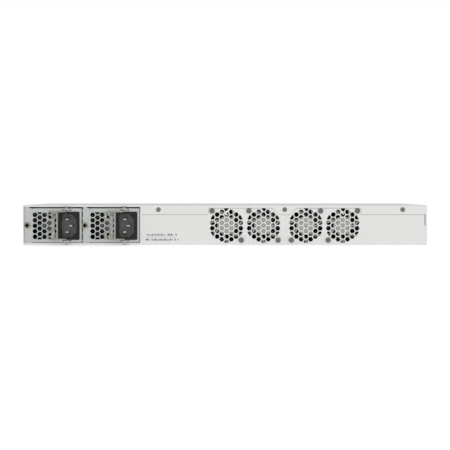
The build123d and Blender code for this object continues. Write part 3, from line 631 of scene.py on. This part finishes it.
def jack_insides():
    """Plastic linings, contact wires and light windows of the two modular jacks."""
    lining = bmesh.new()
    wires = bmesh.new()
    windows = bmesh.new()
    wall = 0.25 * MM
    mouth_inset = 0.6 * MM
    ledge_near, ledge_far = 3.1 * MM, 5.8 * MM
    window_near, window_far, window_bevel = 5.2 * MM, 7.4 * MM, 0.12 * MM
    wire_count, wire_pitch, wire_width = 8, 1.02 * MM, 0.4 * MM
    # along from the back of the jack and down from its roof
    wire_profile = ((0.4 * MM, 0.5 * MM), (9.0 * MM, 3.4 * MM), (9.1 * MM, 3.1 * MM), (0.6 * MM, 0.2 * MM))
    for low, high in port_openings(("rj45",)):
        mouth = high.y - mouth_inset
        middle_x = (low.x + high.x) / 2
        add_box(lining, (low.x, low.y, low.z), (low.x + wall, mouth, high.z))
        add_box(lining, (high.x - wall, low.y, low.z), (high.x, mouth, high.z))
        add_box(lining, (low.x, low.y, high.z - wall), (high.x, mouth, high.z))
        add_box(lining, (low.x, low.y, low.z), (high.x, low.y + wall, high.z))
        for side in (-1, 1):
            ledge = sorted((middle_x + side * ledge_near, middle_x + side * ledge_far))
            add_box(lining, (ledge[0], low.y, low.z), (ledge[1], mouth, low.z + wall))
            window = sorted((middle_x + side * window_near, middle_x + side * window_far))
            add_box(windows, (window[0], front_y - 0.2 * MM, high.z + 0.5 * MM),
                    (window[1], front_y + 0.55 * MM, high.z + 1.6 * MM), window_bevel)
        for wire in range(wire_count):
            x = middle_x + (wire - (wire_count - 1) / 2) * wire_pitch
            outline = [(x, low.y + along, high.z - drop) for along, drop in wire_profile]
            add_prism(wires, outline, (wire_width, 0, 0))
    finish_piece("jack_linings", lining, finishes["chip_black"], "chassis")
    finish_piece("jack_wires", wires, gold_contact, "chassis")
    finish_piece("jack_windows", windows, finishes["light_pipe"], "chassis")


# ------------------------------------------------------------------ fans


def hub_label(name, frame_node, radius, material, body):
    """A round sticker with a smaller raised middle, on the motor base of a fan."""
    low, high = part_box(frame_node)
    middle = (low + high) / 2
    base_y = low.y + 1.2 * MM
    inner_share = 0.82
    sides = 48
    shape = bmesh.new()
    for sunk, proud, disc_radius in ((0.02, 0.1, radius), (-0.08, 0.16, radius * inner_share)):
        add_rod(shape, (middle.x, base_y + sunk * MM, middle.z),
                (middle.x, base_y - proud * MM, middle.z), disc_radius, sides)
    finish_piece(name, shape, material, body)


# ------------------------------------------------------------------ power supplies


def star(middle, y, point_radius, notch_radius):
    """Corners of a four-pointed star that faces the rear."""
    corners = []
    for corner in range(8):
        radius = notch_radius if corner % 2 else point_radius
        angle = math.tau * corner / 8
        corners.append((middle.x + radius * math.cos(angle), y, middle.z + radius * math.sin(angle)))
    return corners


def screw_recess_shade(number):
    """Painted shade in the cross recess of a thumbscrew's head: a black plug and lining in the recess and
    a black rim round its mouth.
    """
    low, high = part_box(f"psu_{number}_thumbscrew")
    middle = (low + high) / 2
    plug_depth, plug_thickness, wall_depth = 1.5 * MM, 0.08 * MM, 1.2 * MM
    rim_rise, rim_sunk = 0.04 * MM, 0.05 * MM
    recess = (2.2 * MM, 1.2 * MM)
    mouth = (2.15 * MM, 1.15 * MM)
    rim = (2.8 * MM, 1.7 * MM)
    shape = bmesh.new()
    # painted shade: black fill in the recess and round its mouth, in place of the recess's shadow
    add_prism(shape, star(middle, low.y + plug_depth, *recess), (0, plug_thickness, 0))
    add_ring(shape, [star(middle, low.y + wall_depth, *recess),
                     star(middle, low.y - rim_rise, *mouth),
                     star(middle, low.y - rim_rise, *rim),
                     star(middle, low.y + rim_sunk, *rim)])
    body = f"psu_{number}_thumbscrew"
    finish_piece(f"psu_{number}_screw_recess_shade", shape, recess_shade_paint, body)


def case_insulation(number):
    """Black insulating sheet that lines the power supply's case."""
    low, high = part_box(f"psu_{number}_case")
    start, end = low.y + 3 * MM, high.y - 3 * MM
    gap, thickness = 0.9 * MM, 0.2 * MM
    left, right, bottom, top = low.x + gap, high.x - gap, low.z + gap, high.z - gap
    shape = bmesh.new()
    for sheet_low, sheet_high in ((bottom, bottom + thickness), (top - thickness, top)):
        add_box(shape, (left, start, sheet_low), (right, end, sheet_high))
    for sheet_low, sheet_high in ((left, left + thickness), (right - thickness, right)):
        add_box(shape, (sheet_low, start, bottom), (sheet_high, end, top))
    finish_piece(f"psu_{number}_insulation", shape, insulation, f"psu_{number}")


def case_rivets(number):
    """Domed rivets along the top and the right side of the power supply's case."""
    low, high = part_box(f"psu_{number}_case")
    shape = bmesh.new()
    inset, sunk, rise = 6 * MM, 0.1 * MM, 0.35 * MM
    foot_radius, tip_radius, sides = 1.5 * MM, 1.0 * MM, 20
    for y in (low.y + 12 * MM, low.y + 70 * MM, high.y - 50 * MM, high.y - 8 * MM):
        for z in (low.z + inset, high.z - inset):
            add_rod(shape, (high.x - sunk, y, z), (high.x + rise, y, z), foot_radius, sides, tip_radius)
        for x in (low.x + inset, high.x - inset):
            add_rod(shape, (x, y, high.z - sunk), (x, y, high.z + rise), foot_radius, sides, tip_radius)
    finish = "fan_screw_steel"
    finish_piece(f"psu_{number}_rivets", shape, finishes[finish], f"psu_{number}")


def case_springs(number):
    """Sprung earthing fingers that arch up from the rear of the case's top."""
    low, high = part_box(f"psu_{number}_case")
    shape = bmesh.new()
    count, pitch, width = 9, 5.3, 4.4 * MM
    first_x, first_y = 3.5, 2.0
    # along and up, in millimetres: over the top of the strip and back under it
    arch = ((0.0, 0.0), (1.6, 1.1), (3.4, 1.35), (5.2, 0.9), (6.4, 0.05), (6.4, 0.25), (5.2, 1.1),
            (3.4, 1.55), (1.5, 1.3), (0.0, 0.2))
    for finger in range(count):
        x = low.x + (first_x + finger * pitch) * MM
        outline = [(x, low.y + (first_y + along) * MM, high.z + rise * MM) for along, rise in arch]
        add_prism(shape, outline, (width, 0, 0))
    finish = "spring_metal"
    finish_piece(f"psu_{number}_springs", shape, finishes[finish], f"psu_{number}")


def case_sticker(number):
    """A plain sticker on the case's top, with bars and a square in place of print."""
    low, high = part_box(f"psu_{number}_case")
    corner = Vector((low.x + 8 * MM, low.y + 50 * MM, high.z))
    width, length, thickness, bevel = 40 * MM, 62 * MM, 0.08 * MM, 0.02 * MM
    print_rise = 0.03 * MM
    body = f"psu_{number}"
    sticker = bmesh.new()
    add_box(sticker, corner, corner + Vector((width, length, thickness)), bevel)
    finish_piece(body + "_sticker", sticker, sticker_white, body)
    bars = bmesh.new()
    draw = random.Random(20 + number)
    bar_count, bar_pitch, bar_height = 7, 5.2, 1.1 * MM
    first_x, first_y = 4 * MM, 6
    for row in range(bar_count):
        start = corner + Vector((first_x, (first_y + row * bar_pitch) * MM, thickness))
        bar_length = draw.uniform(16, 32) * MM
        add_box(bars, start, start + Vector((bar_length, bar_height, print_rise)))
    square_low = Vector((26 * MM, 46 * MM, thickness))
    square_high = Vector((36 * MM, 56 * MM, thickness + print_rise))
    add_box(bars, corner + square_low, corner + square_high)
    finish_piece(body + "_sticker_bars", bars, label_ink, body)


rear_marks()
flange_painted_shadow()
front_marks()
light_bezels()
port_connectors("qsfp", contact_count=19, half_span=8.0 * MM)
port_connectors("sfp", contact_count=10, half_span=4.6 * MM)
cage_fingers()
jack_insides()
for number in FAN_NUMBERS:
    hub_label(f"fan_{number}_label", f"fan_{number}_frame", 9.2 * MM, hub_sticker, "chassis")
for number in PSU_NUMBERS:
    hub_label(f"psu_{number}_fan_label", f"psu_{number}_fan_frame", 5.8 * MM, small_hub_sticker,
              f"psu_{number}")
    screw_recess_shade(number)
    case_insulation(number)
    case_rivets(number)
    case_springs(number)
    case_sticker(number)

# ------------------------------------------------------------------ floor, light and colour

FLOOR_HALF_SIZE = 30.0
FLOOR_GAP = 0.2 * MM

floor_mesh = bpy.data.meshes.new("floor")
floor_shape = bmesh.new()
bmesh.ops.create_grid(floor_shape, x_segments=1, y_segments=1, size=FLOOR_HALF_SIZE)
floor_shape.to_mesh(floor_mesh)
floor_shape.free()
floor_mesh.materials.append(pale_floor("pale_floor"))
floor = bpy.data.objects.new("floor", floor_mesh)
floor.location.z = cad_box[0][2] - FLOOR_GAP
bpy.context.scene.collection.objects.link(floor)

# how steeply a direction points up, as its z, and how bright the sky is there
LOW_SKY, HORIZON_STRENGTH = 0.1, 1.0
HIGH_SKY, OVERHEAD_STRENGTH = 0.7, 0.6

world = bpy.data.worlds.new("studio")
world.use_nodes = True
bpy.context.scene.world = world


def studio_sky(tree):
    """White round the horizon, a little greyer overhead, so that upright faces keep some shape."""
    direction = tree.nodes.new("ShaderNodeTexCoord")
    split = tree.nodes.new("ShaderNodeSeparateXYZ")
    tree.links.new(direction.outputs["Generated"], split.inputs["Vector"])
    strength = tree.nodes.new("ShaderNodeMapRange")
    set_range(strength, LOW_SKY, HIGH_SKY, HORIZON_STRENGTH, OVERHEAD_STRENGTH)
    tree.links.new(split.outputs["Z"], strength.inputs["Value"])
    background = tree.nodes["Background"]
    background.inputs["Color"].default_value = (1.0, 1.0, 1.0, 1.0)
    tree.links.new(strength.outputs["Result"], background.inputs["Strength"])


studio_sky(world.node_tree)


def softbox(name, place, target, size, power):
    """A rectangular lamp of a size in metres and a power in watts that faces its target."""
    light = bpy.data.lights.new(name, "AREA")
    light.shape = "RECTANGLE"
    light.size, light.size_y = size
    light.energy = power
    lamp = bpy.data.objects.new(name, light)
    lamp.location = place
    lamp.rotation_euler = (Vector(target) - Vector(place)).to_track_quat("-Z", "Y").to_euler()
    bpy.context.scene.collection.objects.link(lamp)


softbox("key", place=(-0.5, -1.9, 1.9), target=(0, 0, 0), size=(1.4, 0.9), power=6.5)

bpy.context.scene.view_settings.view_transform = "Standard"
